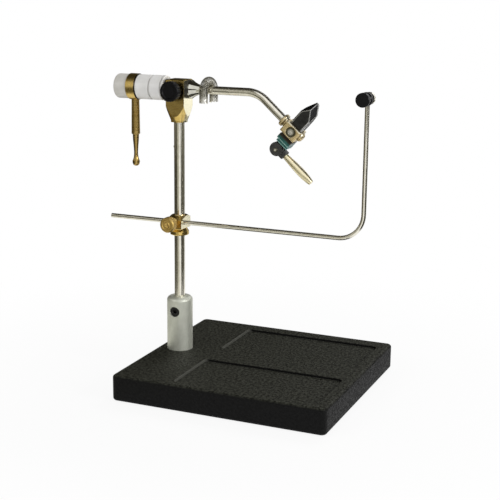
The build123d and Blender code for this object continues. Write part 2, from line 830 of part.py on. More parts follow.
# Jaw holder: square bar with a boss at each end, slotted for the jaws
slot_width = jaw_arm_side + jaw_end_side + 2 * jaw_side_play
slot_middle = (jaw_arm_side - jaw_end_side) / 2
slot_half_depth = jaw_half_gap + jaw_thickness + jaw_rock_play
end_boss_end = holder_end_side + holder_end_boss
boss_plane = Plane(origin=arm_line, x_dir=along, z_dir=front)
with BuildPart() as jaw_holder:
    with BuildSketch(jaw_section(-holder_half_length)):
        with Locations(((holder_arm_side - holder_end_side) / 2, 0)):
            Rectangle(holder_arm_side + holder_end_side, 2 * holder_half_depth)
    extrude(amount=2 * holder_half_length)
    chamfer(jaw_holder.edges().filter_by(Axis((0, 0, 0), along)), length=holder_chamfer)
    bosses = face(
        boss_plane,
        (0, -end_boss_end),
        (holder_boss_radius - holder_end_boss / 2, -end_boss_end),
        (holder_boss_radius, -end_boss_end + holder_end_boss / 2),
        (holder_boss_radius, holder_arm_side + holder_neck),
        (holder_collar_radius, holder_arm_side + holder_neck),
        (holder_collar_radius, arm_boss_end - holder_chamfer),
        (holder_collar_radius - holder_chamfer, arm_boss_end),
        (0, arm_boss_end),
    )
    revolve(bosses, Axis(arm_line, across))
    with BuildSketch(jaw_section(-holder_half_length - overrun)):
        with Locations((slot_middle, 0)):
            Rectangle(slot_width, 2 * slot_half_depth)
    extrude(amount=2 * (holder_half_length + overrun), mode=Mode.SUBTRACT)
    drill(facing(arm_end, across), arm_radius + fixed_fit, arm_seat + overrun)
    screw_hole = Plane(origin=jaw_centre + Vector(0, holder_half_depth, 0), x_dir=along, z_dir=front)
    drill(screw_hole.offset(-overrun), jaw_screw_diameter / 2 + fixed_fit, 2 * (holder_half_depth + overrun))
    head_seat = jaw_plane.offset(holder_half_depth - jaw_screw_recess)
    drill(head_seat, jaw_screw_head_diameter / 2 + tip_gap, jaw_screw_recess + overrun)
keep(jaw_holder, "jaw_holder")

with BuildPart() as jaw_screw:
    screw_plane = Plane(origin=jaw_centre, x_dir=front, z_dir=along)
    screw = face(
        screw_plane,
        (-holder_half_depth, 0),
        (-holder_half_depth, jaw_screw_diameter / 2),
        (holder_half_depth - jaw_screw_recess, jaw_screw_diameter / 2),
        (holder_half_depth - jaw_screw_recess, jaw_screw_head_diameter / 2),
        (holder_half_depth - jaw_screw_recess + jaw_screw_head, jaw_screw_head_diameter / 2),
        (holder_half_depth - jaw_screw_recess + jaw_screw_head, 0),
    )
    revolve(screw, Axis(jaw_centre, (0, -1, 0)))
    hex_socket(head_seat.offset(jaw_screw_head), jaw_screw_hex, -jaw_screw_hex_depth)
keep(jaw_screw, "jaw_screw")

# Jaws: bevelled bar with a narrow tail, ground in two facets to the tip, hollowed for the draw bar's wedge
jaw_back = holder_half_length - jaw_rock_play
jaw_outer = jaw_half_gap + jaw_thickness
tip_outer = jaw_half_gap + jaw_tip_thickness
wedge_start = -seat_end + seat_floor + tip_gap
wedge_rise = tan(radians(wedge_angle))
wedge_end = wedge_start + wedge_length
relief_end = wedge_end + wedge_travel + tip_gap
relief_start = -tail_length - overrun
rock_relief = jaw_half_gap - relief_end * tan(radians(jaw_relief_angle))


def wedge_half(distance):
    """Half the wedge's thickness at a place along the jaws."""
    return bar_half_thickness + (distance - wedge_start) * wedge_rise


def ground_facet(runout, side):
    """The plane through the tip's ridge and the place where its facet runs out, facing away from the jaw."""
    ridge = jaw_plane.from_local_coords(Vector(jaw_ridge_start, jaw_ridge_offset, jaw_outer))
    point = jaw_plane.from_local_coords(Vector(jaw_tip, jaw_tip_offset, tip_outer))
    end = jaw_plane.from_local_coords(Vector(runout, side, jaw_outer))
    away = (point - ridge).cross(end - ridge)
    return Plane(origin=ridge, z_dir=away if away.dot(front) > 0 else -away)


with BuildPart() as front_jaw:
    with BuildSketch(jaw_plane.offset(jaw_half_gap)):
        with BuildLine():
            Polyline(
                (-jaw_back, -jaw_end_side),
                (jaw_end_shoulder, -jaw_end_side),
                (jaw_tip, jaw_tip_offset - jaw_tip_half_width),
                (jaw_tip, jaw_tip_offset + jaw_tip_half_width),
                (jaw_arm_shoulder, jaw_arm_side - jaw_shoulder_inset),
                (jaw_arm_corner, jaw_arm_side),
                (-jaw_back, jaw_arm_side),
                close=True,
            )
        make_face()
    extrude(amount=jaw_thickness)
    long_edges = front_jaw.edges().filter_by(Axis((0, 0, 0), along)).group_by(Axis.Y)[0]
    chamfer(long_edges, length=jaw_bevel)
    split(bisect_by=ground_facet(jaw_arm_runout, jaw_arm_side - jaw_bevel), keep=Keep.BOTTOM)
    split(bisect_by=ground_facet(jaw_end_runout, jaw_bevel - jaw_end_side), keep=Keep.BOTTOM)
    with BuildSketch(jaw_section(-tail_length)):
        with Locations((0, jaw_half_gap + jaw_thickness / 2)):
            Rectangle(2 * tail_half_width, jaw_thickness)
    extrude(amount=tail_length)
    relief = face(
        rock_plane,
        (relief_start, -overrun),
        (relief_start, wedge_half(-tail_length) + wedge_gap),
        (-tail_length, wedge_half(-tail_length) + wedge_gap),
        (relief_end, wedge_half(relief_end) + wedge_gap),
        (relief_end, rock_relief),
        (0, jaw_half_gap),
        (0, -overrun),
    )
    extrude(relief, amount=2 * jaw_arm_side, both=True, mode=Mode.SUBTRACT)
    drill(jaw_plane, jaw_screw_diameter / 2 + jaw_screw_play, holder_half_depth)
keep(front_jaw, "front_jaw")

with BuildPart() as rear_jaw:
    mirror(front_jaw.part, about=Plane.XZ)
keep(rear_jaw, "rear_jaw")

# Cam seat: waisted collar with a pocket for the jaw tails and a slot for the draw bar
seat_steps = (
    (seat_neck_length, seat_neck_half_width, seat_neck_half_width, seat_neck_half_depth),
    (seat_flange_length, seat_flange_arm_side, seat_flange_end_side, seat_flange_half_depth),
    (seat_foot_length, seat_foot_arm_side, seat_foot_end_side, seat_foot_half_depth),
)
with BuildPart() as cam_seat:
    seat_depth = holder_half_length
    for step_length, arm_side, end_side, half_depth in seat_steps:
        with BuildSketch(jaw_section(-seat_depth)):
            with Locations(((arm_side - end_side) / 2, 0)):
                RectangleRounded(arm_side + end_side, 2 * half_depth, seat_round)
        extrude(amount=-step_length)
        seat_depth += step_length
    with BuildSketch(jaw_section(-holder_half_length)):
        Rectangle(2 * (tail_half_width + tail_play), 2 * (jaw_outer + tail_play))
    extrude(amount=-(seat_end - seat_floor - holder_half_length), mode=Mode.SUBTRACT)
    with BuildSketch(jaw_section(-seat_end)):
        Rectangle(2 * (bar_half_height + face_gap), 2 * (bar_half_thickness + face_gap))
    extrude(amount=seat_end, mode=Mode.SUBTRACT)
keep(cam_seat, "cam_seat")

# Draw bar: flat tongue with an eye for the cam's pin and a wedge head between the jaw tails
pin_point = jaw_centre - along * cam_pin_drop
pin_plane = Plane(origin=pin_point, x_dir=along, z_dir=front)
with BuildPart() as draw_bar:
    shape = face(
        rock_plane,
        (-cam_pin_drop, -bar_half_thickness),
        (-cam_pin_drop, bar_half_thickness),
        (wedge_start, bar_half_thickness),
        (wedge_end, wedge_half(wedge_end)),
        (wedge_end, -wedge_half(wedge_end)),
        (wedge_start, -bar_half_thickness),
    )
    extrude(shape, amount=bar_half_height, both=True)
    extrude(disc(pin_plane, bar_eye_radius), amount=bar_half_thickness, both=True)
    drill(pin_plane.offset(-cam_half_depth), pin_diameter / 2 + fixed_fit, 2 * cam_half_depth)
keep(draw_bar, "draw_bar")

with BuildPart() as cam_pin:
    pin_half = cam_half_depth + pin_proud
    extrude(disc(pin_plane, pin_diameter / 2), amount=pin_half, both=True)
    chamfer(cam_pin.edges().filter_by(GeomType.CIRCLE), length=pin_proud)
keep(cam_pin, "cam_pin")

# Cam: eccentric fork round the draw bar's eye, with a neck for the lever
with BuildPart() as cam:
    with BuildSketch(pin_plane):
        with Locations((cam_offset, 0)):
            Circle(cam_radius)
    extrude(amount=cam_half_depth, both=True)
    chamfer(cam.edges().filter_by(GeomType.CIRCLE), length=cam_round)
    with BuildSketch(pin_plane):
        with Locations((lever_offset, -cam_neck_length / 2)):
            Rectangle(2 * cam_neck_half_width, cam_neck_length)
    extrude(amount=cam_neck_half_depth, both=True)
    neck_end = cam.faces().sort_by(Axis((0, 0, 0), across))[0]
    fillet(neck_end.edges(), radius=cam_round)
    with BuildSketch(pin_plane):
        with Locations((0, cam_neck_solid / 2)):
            Rectangle(4 * cam_radius, 2 * cam_neck_length - cam_neck_solid)
    extrude(amount=bar_half_thickness + cam_slot_play, both=True, mode=Mode.SUBTRACT)
    drill(pin_plane.offset(-2 * cam_half_depth), pin_diameter / 2 + running_fit, 4 * cam_half_depth)
    lever_root = pin_point + along * lever_offset - across * cam_neck_length
    drill(facing(lever_root, across), lever_spigot_diameter / 2 + fixed_fit, lever_spigot_length + face_gap)
keep(cam, "cam")

# Cam handle: turned lever with a belly and a hole in its end
lever_plane = Plane(origin=lever_root, x_dir=along, z_dir=front)
with BuildPart() as cam_handle:
    with BuildSketch(lever_plane):
        with BuildLine():
            Polyline(
                (lever_end_diameter / 2, -lever_length),
                (0, -lever_length),
                (0, lever_spigot_length),
                (lever_spigot_diameter / 2, lever_spigot_length),
                (lever_spigot_diameter / 2, 0),
                (lever_start_diameter / 2, 0),
            )
            Spline(
                (lever_start_diameter / 2, 0),
                (lever_belly_diameter / 2, -lever_length * lever_belly_share),
                (lever_taper_diameter / 2, -lever_length * lever_taper_share),
                (lever_end_diameter / 2, -lever_length),
            )
        make_face()
    revolve(axis=Axis(lever_root, across))
    drill(
        facing(lever_root - across * (lever_length - lever_hole_depth), -across),
        lever_hole_diameter / 2,
        lever_hole_depth,
    )
keep(cam_handle, "cam_handle")

# Stop collar and its set screw at the back
collar_middle = base_height + collar_foot_rise + (collar_height - collar_top_bevel_height) / 2
with BuildPart() as stop_collar:
    hoop = face(
        stem_plane,
        (stem_bore, collar_foot_rise),
        (collar_radius - collar_foot_chamfer, collar_foot_rise),
        (collar_radius, collar_foot_rise + collar_foot_chamfer),
        (collar_radius, collar_top_rise - collar_top_bevel_height),
        (collar_radius - collar_top_bevel_width, collar_top_rise),
        (stem_bore, collar_top_rise),
    )
    revolve(hoop, stem_axis)
    drill(
        facing((stem_x, stem_radius, collar_middle), (0, 1, 0)),
        collar_screw_diameter / 2 + fixed_fit,
        collar_radius,
    )
keep(stop_collar, "stop_collar")

with BuildPart() as collar_set_screw:
    grub_plane = facing((stem_x, stem_radius + tip_gap, collar_middle), (0, 1, 0))
    grub_length = collar_radius - collar_foot_chamfer - stem_radius - tip_gap
    extrude(disc(grub_plane, collar_screw_diameter / 2), amount=grub_length)
    hex_socket(grub_plane.offset(grub_length), collar_screw_hex, -grub_length / 2)
keep(collar_set_screw, "collar_set_screw")

# Cradle clamp: block with a turned top, bored for the stem, the rod and the thumb screw
clamp_top_rise = clamp_foot_rise + clamp_height
clamp_far = clamp_front + clamp_half_width
rod_z = base_height + rod_rise
rod_point = Vector(stem_x, -rod_offset, rod_z)
with BuildPart() as cradle_clamp:
    with BuildSketch(level(clamp_foot_rise)):
        with Locations((0, (clamp_back - clamp_front) / 2)):
            Rectangle(2 * clamp_half_width, clamp_front + clamp_back)
    extrude(amount=clamp_height)
    chamfer(cradle_clamp.faces().sort_by(Axis.Z)[0].edges(), length=clamp_chamfer)
    cone_fall = clamp_cone_height / (clamp_front - clamp_cone_radius)
    waste = face(
        stem_plane,
        (clamp_cone_radius, clamp_top_rise),
        (clamp_far, clamp_top_rise - (clamp_far - clamp_cone_radius) * cone_fall),
        (clamp_far, clamp_top_rise + overrun),
        (clamp_cone_radius, clamp_top_rise + overrun),
    )
    revolve(waste, stem_axis, mode=Mode.SUBTRACT)
    drill(level(clamp_foot_rise - overrun), stem_bore, clamp_height + 2 * overrun)
    drill(
        facing(rod_point - Vector(2 * clamp_half_width, 0, 0), (1, 0, 0)),
        rod_radius + running_fit,
        4 * clamp_half_width,
    )
    drill(facing(rod_point, front), thumb_shank_diameter / 2 + running_fit, clamp_front)
keep(cradle_clamp, "cradle_clamp")

# Thumb screw: turned head with rings and a dimple on its face
thumb_tip = rod_offset + rod_radius + tip_gap
thumb_neck = clamp_front + thumb_neck_gap
thumb_back = thumb_neck + thumb_neck_length
thumb_face = thumb_back + thumb_head_length
thumb_radius = thumb_head_diameter / 2
ring_outer = thumb_radius - thumb_round - thumb_ring_width
thumb_plane = turned_front(stem_x, rod_z)
with BuildPart() as clamp_thumbscrew:
    screw = face(
        thumb_plane,
        (thumb_tip, 0),
        (thumb_tip, thumb_shank_diameter / 2),
        (thumb_neck, thumb_shank_diameter / 2),
        (thumb_neck, thumb_neck_diameter / 2),
        (thumb_back, thumb_neck_diameter / 2),
        (thumb_back, thumb_radius - thumb_round),
        (thumb_back + thumb_round, thumb_radius),
        (thumb_face - thumb_round, thumb_radius),
        (thumb_face, thumb_radius - thumb_round),
        (thumb_face, ring_outer),
        (thumb_face - thumb_ring_depth, ring_outer - thumb_ring_depth),
        (thumb_face - thumb_ring_depth, thumb_dimple_radius + thumb_ring_depth),
        (thumb_face, thumb_dimple_radius),
        (thumb_face - thumb_dimple_radius / 2, 0),
    )
    revolve(screw, Axis((stem_x, 0, rod_z), (0, -1, 0)))
keep(clamp_thumbscrew, "clamp_thumbscrew")

# Cradle rod: bent round bar that ends in an eye
rod_x = stem_x + rod_corner_reach
roller_z = base_height + roller_rise
rod_start = Vector(stem_x - rod_tail_reach, -rod_offset, rod_z)
rod_corner = Vector(rod_x, -rod_offset, rod_z)
eye_point = Vector(rod_x, -rod_offset, roller_z)
eye_plane = facing(eye_point, front)
with BuildPart() as cradle_rod:
    with BuildLine() as rod_path:
        FilletPolyline(rod_start, rod_corner, eye_point, radius=rod_bend_radius)
    with BuildSketch(facing(rod_start, (1, 0, 0))):
        Circle(rod_radius)
    sweep(path=rod_path.line)
    extrude(disc(eye_plane, eye_diameter / 2), amount=rod_radius, both=True)
    drill(eye_plane.offset(-eye_diameter), eye_screw_diameter / 2 + running_fit, 2 * eye_diameter)
keep(cradle_rod, "cradle_rod")

# Roller: grooved, screwed to a headed screw that turns in the eye
roller_plane = turned_front(rod_x, roller_z)
roller_axis = Axis((rod_x, 0, roller_z), (0, -1, 0))
roller_far = rod_offset + rod_radius + tip_gap
roller_near = roller_far + roller_length
with BuildPart() as cradle_spool:
    reel = face(
        roller_plane,
        (roller_far, 0),
        (roller_far, roller_far_radius - roller_chamfer),
        (roller_far + roller_chamfer, roller_far_radius),
        (roller_far + roller_far_flange, roller_far_radius),
        ((roller_far + roller_far_flange + roller_near - roller_near_flange) / 2, roller_groove_radius),
        (roller_near - roller_near_flange, roller_near_radius),
        (roller_near - roller_chamfer, roller_near_radius),
        (roller_near, roller_near_radius - roller_chamfer),
        (roller_near, 0),
    )
    revolve(reel, roller_axis)
    drill(
        facing((rod_x, -roller_far, roller_z), front),
        eye_screw_diameter / 2 + fixed_fit,
        roller_screw_depth + face_gap,
    )
keep(cradle_spool, "cradle_spool")

head_far = rod_offset - rod_radius - tip_gap
with BuildPart() as spool_screw:
    screw = face(
        roller_plane,
        (roller_far + roller_screw_depth, 0),
        (roller_far + roller_screw_depth, eye_screw_diameter / 2),
        (head_far, eye_screw_diameter / 2),
        (head_far, roller_head_diameter / 2),
        (head_far - roller_head, roller_head_diameter / 2),
        (head_far - roller_head, 0),
    )
    revolve(screw, roller_axis)
    fillet(spool_screw.edges().filter_by(GeomType.CIRCLE).sort_by(Axis.Y)[-1], radius=roller_head_round)
keep(spool_screw, "spool_screw")
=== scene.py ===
"""Fly tying vise: materials, coil spring, studio and camera around the CAD model."""

import math

import bpy
from mathutils import Matrix, Vector


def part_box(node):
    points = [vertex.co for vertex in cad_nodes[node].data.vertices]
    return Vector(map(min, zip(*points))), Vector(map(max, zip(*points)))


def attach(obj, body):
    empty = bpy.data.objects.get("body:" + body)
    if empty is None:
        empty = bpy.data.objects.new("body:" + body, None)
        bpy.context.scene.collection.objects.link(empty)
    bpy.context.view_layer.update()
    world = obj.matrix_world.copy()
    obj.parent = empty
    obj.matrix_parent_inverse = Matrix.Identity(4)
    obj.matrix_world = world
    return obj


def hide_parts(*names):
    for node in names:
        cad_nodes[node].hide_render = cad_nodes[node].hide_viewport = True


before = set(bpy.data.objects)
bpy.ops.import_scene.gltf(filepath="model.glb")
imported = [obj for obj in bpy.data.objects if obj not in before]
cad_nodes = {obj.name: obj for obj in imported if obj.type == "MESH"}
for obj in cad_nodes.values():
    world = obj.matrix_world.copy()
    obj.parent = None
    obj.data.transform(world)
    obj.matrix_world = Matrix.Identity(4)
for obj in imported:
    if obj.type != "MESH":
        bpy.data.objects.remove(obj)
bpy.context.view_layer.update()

# Lengths below are in millimetres, angles in degrees, and places are in the CAD frame
MM = 0.001

# Camera, as fitted to the photo's 500 pixel frame
CAMERA_AZIMUTH = 22.955
CAMERA_ELEVATION = 13.318
CAMERA_ROLL = 0.637
CAMERA_EYE = (376.972, -910.472, 358.035)
FOCAL_PIXELS = 1140.684
FRAME_PIXELS = 500
PIXEL_CENTRE = 0.5
SENSOR_WIDTH = 36.0
CLIP_NEAR = 10.0
CLIP_FAR = 100000.0

# Directions: the jaws point up along one of them, in the plane of the stem and the arm
JAW_ANGLE = 48.0
jaw_turn = math.radians(JAW_ANGLE)
JAW_WAY = (math.cos(jaw_turn), 0.0, math.sin(jaw_turn))
CAM_WAY = (-math.cos(jaw_turn), 0.0, -math.sin(jaw_turn))
ARM_WAY = (math.sin(jaw_turn), 0.0, -math.cos(jaw_turn))
ACROSS_WAY = (1.0, 0.0, 0.0)
DEPTH_WAY = (0.0, 1.0, 0.0)
UP_WAY = (0.0, 0.0, 1.0)
# Between the two runs of the cradle rod
ROD_WAY = (math.sqrt(0.5), 0.0, math.sqrt(0.5))
# Keeps what lies across and up, and drops the depth
FRONT_PLANE = (1.0, 0.0, 1.0)

# Tones and ranges of roughness that several looks share
STEEL_LIGHT = (0.92, 0.885, 0.785)
STEEL_DARK = (0.76, 0.73, 0.63)
STEEL_ROUGH = (0.12, 0.24)
BRASS_LIGHT = (0.84, 0.62, 0.22)
BRASS_DARK = (0.68, 0.47, 0.14)
BRASS_ROUGH = (0.16, 0.28)
# A painted highlight on brass faces that look to the right, towards the brightest light
BRASS_PAINTED_HIGHLIGHT = (0.92, 0.87, 0.64)
# Painted shade where parts meet
JOINT_SHADE_TONE = (0.05, 0.04, 0.03)

# Most of a noise lies in this range
NOISE_LOW = 0.3
NOISE_HIGH = 0.7

# Lathe lines
LATHE_PITCH = 0.25
LATHE_DEPTH = 0.0015

# Edges for wear and for painted highlights, by the cosine between an edge's rounded normal and its face
EDGE_FLAT = 0.995
EDGE_SHARP = 0.86

# Faces and rims that look one way, by the cosine between their normal and that way
FACING_START = 0.3
FACING_FULL = 0.95
# Where the painted highlight on faces that look to the right starts
HIGHLIGHT_START = 0.75
RIM_START = 0.1
RIM_FULL = 0.4

# Painted shade in grooves and corners, from ambient occlusion: reach, openness where it starts and where it
# is full, and its share of the dark tone
HOLLOW_SHADE_REACH = 3.0
HOLLOW_SHADE_START = 0.95
HOLLOW_SHADE_FULL = 0.35
HOLLOW_SHADE_SHARE = 0.55

# Painted shade at the joints at the ends of the crank ring and the cam seat, where the next part meets
# them, and the share of their width with no fade
RING_JOINT_SHADE = 1.0
SEAT_JOINT_SHADE = 4.4
JOINT_SHADE_FULL_SHARE = 0.6

# The trays in the base end here, and the painted light on their walls fades out beyond
TRAYS_END = 89.0
TRAYS_FADE = 1.0

# Ends of the cross screws: shares of the radius where the painted highlight in the middle ends and the
# painted shade at the rim is full
SCREW_HIGHLIGHT_SHARE = 0.3
SCREW_RIM_SHADE_SHARE = 0.8

# Close-wound coil spring, bent to a bow that hangs over the arm with a leg at each side
SPRING_MIDDLE = (-50.1, 0.0, 264.1)
SPRING_YAW = 9.0
SPRING_BOW_RADIUS = 7.9
SPRING_LEG = 10.8
SPRING_TUBE_RADIUS = 3.9
SPRING_WIRE = 0.6
SPRING_LEG_COILS = 16
SPRING_BOW_COILS = 22
SPRING_POINTS_PER_COIL = 16
SPRING_BEVEL_STEPS = 3
# Shares of a leg below the bow where the painted highlight on its lower end starts and is full
SPRING_HIGHLIGHT_START_SHARE = 0.4
SPRING_HIGHLIGHT_FULL_SHARE = 0.7

# Floor: its paint, and the share of it that looks white near the object and far from it
FLOOR_SIZE = 6000.0
FLOOR_PAINT = 0.85
FLOOR_NEAR = 110.0
FLOOR_FAR = 450.0
FLOOR_NEAR_WHITE = 0.9
FLOOR_FAR_WHITE = 1.0

# The surround looks white and lights the object with this strength
SURROUND_LIGHT = 0.42

# Soft boxes: place and watts
LAMP_SIZE = 500.0
LAMP_TARGET = (0.0, 0.0, 150.0)
LAMPS = {
    "key": ((1000.0, -250.0, 450.0), 6.0),
    "fill": ((-600.0, -900.0, 600.0), 2.5),
    "back": ((100.0, 700.0, 900.0), 4.0),
}

# Cards that only reflections show
CARD_LIFT = 0.2
CARD_STEP = 15.0
# On the floor: azimuths about the origin, radii and tone
FLOOR_CARDS = {
    "left_near": (-168.0, 8.0, 140.0, 320.0, (0.84, 0.83, 0.75)),
    "left_far": (-168.0, -28.0, 320.0, 600.0, (0.11, 0.105, 0.08)),
    "front_far": (-28.0, 8.0, 320.0, 600.0, (0.48, 0.47, 0.4)),
    "right_far": (50.0, 140.0, 220.0, 600.0, (0.055, 0.053, 0.037)),
    "behind_far": (140.0, 170.0, 320.0, 540.0, (0.3, 0.29, 0.25)),
    "behind_light": (152.0, 170.0, 540.0, 600.0, (1.1, 1.1, 1.1)),
}
# Upright round the object: azimuths about the origin, distance, heights and tone
WALL_CARDS = {
    "left_low": (-100.0, -28.0, 600.0, 0.0, 140.0, (0.05, 0.045, 0.03)),
    "left_middle": (-100.0, -28.0, 600.0, 140.0, 250.0, (0.14, 0.13, 0.1)),
    "left_high": (-100.0, -2.0, 600.0, 250.0, 700.0, (0.3, 0.29, 0.24)),
    "left_back": (-185.0, -100.0, 600.0, 0.0, 700.0, (0.03, 0.027, 0.018)),
    "front_low": (-28.0, 8.0, 600.0, 0.0, 250.0, (0.48, 0.47, 0.4)),
    "right_low": (50.0, 140.0, 600.0, 0.0, 300.0, (0.055, 0.053, 0.037)),
    "behind_foot": (152.0, 170.0, 600.0, 0.0, 28.0, (1.1, 1.1, 1.1)),
    "behind_low": (140.0, 170.0, 620.0, 0.0, 300.0, (0.3, 0.29, 0.25)),
    # A glowing card that only reflections show: a painted reflection of a lamp on the head's right side
    "behind_glint_card": (152.0, 170.0, 600.0, 150.0, 245.0, (1.25, 1.25, 1.25)),
    "behind_high": (160.0, 175.0, 600.0, 330.0, 620.0, (1.3, 1.3, 1.3)),
    "head_shade": (-46.0, -24.0, 598.0, 140.0, 215.0, (0.05, 0.045, 0.03)),
    "nose_shade": (8.0, 50.0, 600.0, 172.0, 330.0, (0.06, 0.06, 0.05)),
    # A glowing card that only reflections show: a painted glint on the jaws
    "jaw_glint_card": (60.0, 69.0, 237.0, 186.0, 212.0, (0.7, 0.7, 0.7)),
}
# Above the object: front left corner, back right corner and tone
ROOF_HEIGHT = 700.0
ROOF_CARDS = {
    "roof_back": ((-1200.0, -150.0), (1200.0, 1500.0), (0.03, 0.028, 0.022)),
    "roof_left": ((-1200.0, -700.0), (-60.0, -150.0), (0.1, 0.095, 0.075)),
}


class NodeTree:
    """The node tree of a material or world, emptied, with short ways to fill it."""

    def __init__(self, owner):
        owner.use_nodes = True
        self.tree = owner.node_tree
        self.tree.nodes.clear()

    def node(self, kind, values=None, **settings):
        """A new node, whose inputs get constants or what other nodes give."""
        made = self.tree.nodes.new(kind)
        for name, value in settings.items():
            setattr(made, name, value)
        for name, value in (values or {}).items():
            self.feed(made.inputs[name], value)
        return made

    def feed(self, target, value):
        """Links an input to another node's output, or sets it to a constant."""
        if isinstance(value, bpy.types.NodeSocket):
            self.tree.links.new(value, target)
        else:
            target.default_value = value

    def number(self, operation, *values):
        """A number worked out from numbers."""
        made = self.node("ShaderNodeMath", dict(enumerate(values)), operation=operation)
        return made.outputs["Value"]

    def vector(self, operation, *values):
        """A vector worked out from vectors."""
        made = self.node("ShaderNodeVectorMath", dict(enumerate(values)), operation=operation)
        return made.outputs["Vector"]

    def measure(self, operation, *values):
        """A number worked out from vectors."""
        made = self.node("ShaderNodeVectorMath", dict(enumerate(values)), operation=operation)
        return made.outputs["Value"]

    def place(self):
        """A point's place in its piece's own frame."""
        return self.node("ShaderNodeTexCoord").outputs["Object"]

    def seen(self, otherwise):
        """1 for rays that show the surround, straight or reflected, and another value for the rest."""
        rays = self.node("ShaderNodeLightPath").outputs
        total = otherwise
        for name in ("Is Camera Ray", "Is Glossy Ray", "Is Transmission Ray"):
            total = self.number("MULTIPLY_ADD", rays[name], 1.0 - otherwise, total)
        return total


class Look(NodeTree):
    """A material under construction: a Principled shader, and the patterns that feed it."""

    def __init__(self, name, metallic=0.0, shine=0.5):
        self.material = bpy.data.materials.new(name)
        super().__init__(self.material)
        constants = {"Metallic": metallic, "Specular IOR Level": shine}
        self.shader = self.node("ShaderNodeBsdfPrincipled", constants)
        self.node("ShaderNodeOutputMaterial", {"Surface": self.shader.outputs["BSDF"]})

    def noise(self, size, detail=3.0):
        """Noise whose blotches are about so many millimetres across."""
        values = {"Vector": self.place(), "Scale": 1.0 / (size * MM), "Detail": detail}
        return self.node("ShaderNodeTexNoise", values).outputs["Fac"]

    def cells(self, size, smoothness):
        """Smooth cells about so many millimetres across."""
        values = {"Vector": self.place(), "Scale": 1.0 / (size * MM), "Smoothness": smoothness}
        return self.node("ShaderNodeTexVoronoi", values, feature="SMOOTH_F1").outputs["Distance"]

    def lines(self, axis, pitch, detail):
        """Fine lathe lines square to an axis, at about that pitch."""
        values = {"W": self.along(self.place(), axis), "Scale": 1.0 / (pitch * MM), "Detail": detail}
        return self.node("ShaderNodeTexNoise", values, noise_dimensions="1D").outputs["Fac"]

    def along(self, source, way):
        """How far a place or a normal goes along a direction."""
        return self.measure("DOT_PRODUCT", source, way)

    def spread(self, factor, low, high, start=NOISE_LOW, end=NOISE_HIGH):
        """Maps a factor that goes from start to end onto values from low to high."""
        ranges = {"From Min": start, "From Max": end, "To Min": low, "To Max": high}
        return self.node("ShaderNodeMapRange", {"Value": factor, **ranges}).outputs["Result"]

    def ramp(self, factor, start=NOISE_LOW, end=NOISE_HIGH):
        """0 where a factor is at start or beyond it, 1 where it is at end or beyond it."""
        return self.spread(factor, 0.0, 1.0, start, end)

    def mix(self, factor, first, second):
        """A colour between two, each a constant or what another node gives."""
        made = self.node("ShaderNodeMix", {"Factor": factor}, data_type="RGBA")
        colours = [end for end in made.inputs if end.type == "RGBA"]
        for target, value in zip(colours, (first, second)):
            self.feed(target, (*value, 1.0) if isinstance(value, tuple) else value)
        return next(end for end in made.outputs if end.type == "RGBA")

    def normal(self):
        """The normal of the face itself."""
        return self.node("ShaderNodeNewGeometry").outputs["Normal"]

    def rounded(self, width):
        """The normal on edges rounded by so many millimetres."""
        return self.node("ShaderNodeBevel", {"Radius": width * MM}, samples=6).outputs["Normal"]

    def own(self, normal):
        """A normal in the piece's own frame, which moves with its body."""
        settings = {"vector_type": "NORMAL", "convert_from": "WORLD", "convert_to": "OBJECT"}
        return self.node("ShaderNodeVectorTransform", {"Vector": normal}, **settings).outputs["Vector"]

    def edges(self, width, sharp=EDGE_SHARP):
        """1 on sharp edges, 0 on faces."""
        return self.ramp(self.along(self.rounded(width), self.normal()), EDGE_FLAT, sharp)

    def rims(self, width, way):
        """1 on edges that look partly that way."""
        looking = self.ramp(self.along(self.own(self.rounded(width)), way), RIM_START, RIM_FULL)
        return self.number("MULTIPLY", self.edges(width), looking)

    def facing(self, way, start=FACING_START):
        """1 on faces that look that way, 0 on those that look across it."""
        return self.ramp(self.along(self.own(self.normal()), way), start, FACING_FULL)

    def shade_in_hollows(self, tone, dark, share=HOLLOW_SHADE_SHARE):
        """Painted shade: a tone that goes to a share of a dark tone deep in grooves and corners."""
        openness = self.node("ShaderNodeAmbientOcclusion", {"Distance": HOLLOW_SHADE_REACH * MM}, samples=8)
        deep = self.ramp(openness.outputs["AO"], HOLLOW_SHADE_START, HOLLOW_SHADE_FULL)
        return self.mix(deep, tone, tuple(share * part for part in dark))

    def shaded_at_joint(self, tone, owner, way, width):
        """A tone with painted shade within so many millimetres of a CAD node's far end along a direction,
        where the next part meets it.
        """
        end = max(vertex.co.dot(Vector(way)) for vertex in cad_nodes[owner].data.vertices)
        start = end - width * MM
        full = end - JOINT_SHADE_FULL_SHARE * width * MM
        return self.mix(self.ramp(self.along(self.place(), way), start, full), tone, JOINT_SHADE_TONE)

    def relief(self, height, depth, strength=1.0, rounding=None):
        """Bump of so many millimetres, on edges rounded in the shading."""
        values = {"Height": height, "Distance": depth * MM, "Strength": strength}
        if rounding is not None:
            values["Normal"] = self.rounded(rounding)
        bump = self.node("ShaderNodeBump", values)
        self.feed(self.shader.inputs["Normal"], bump.outputs["Normal"])

    def done(self, colour, roughness):
        """Feeds the shader and gives the finished material."""
        self.feed(self.shader.inputs["Base Color"], colour)
        self.feed(self.shader.inputs["Roughness"], roughness)
        return self.material


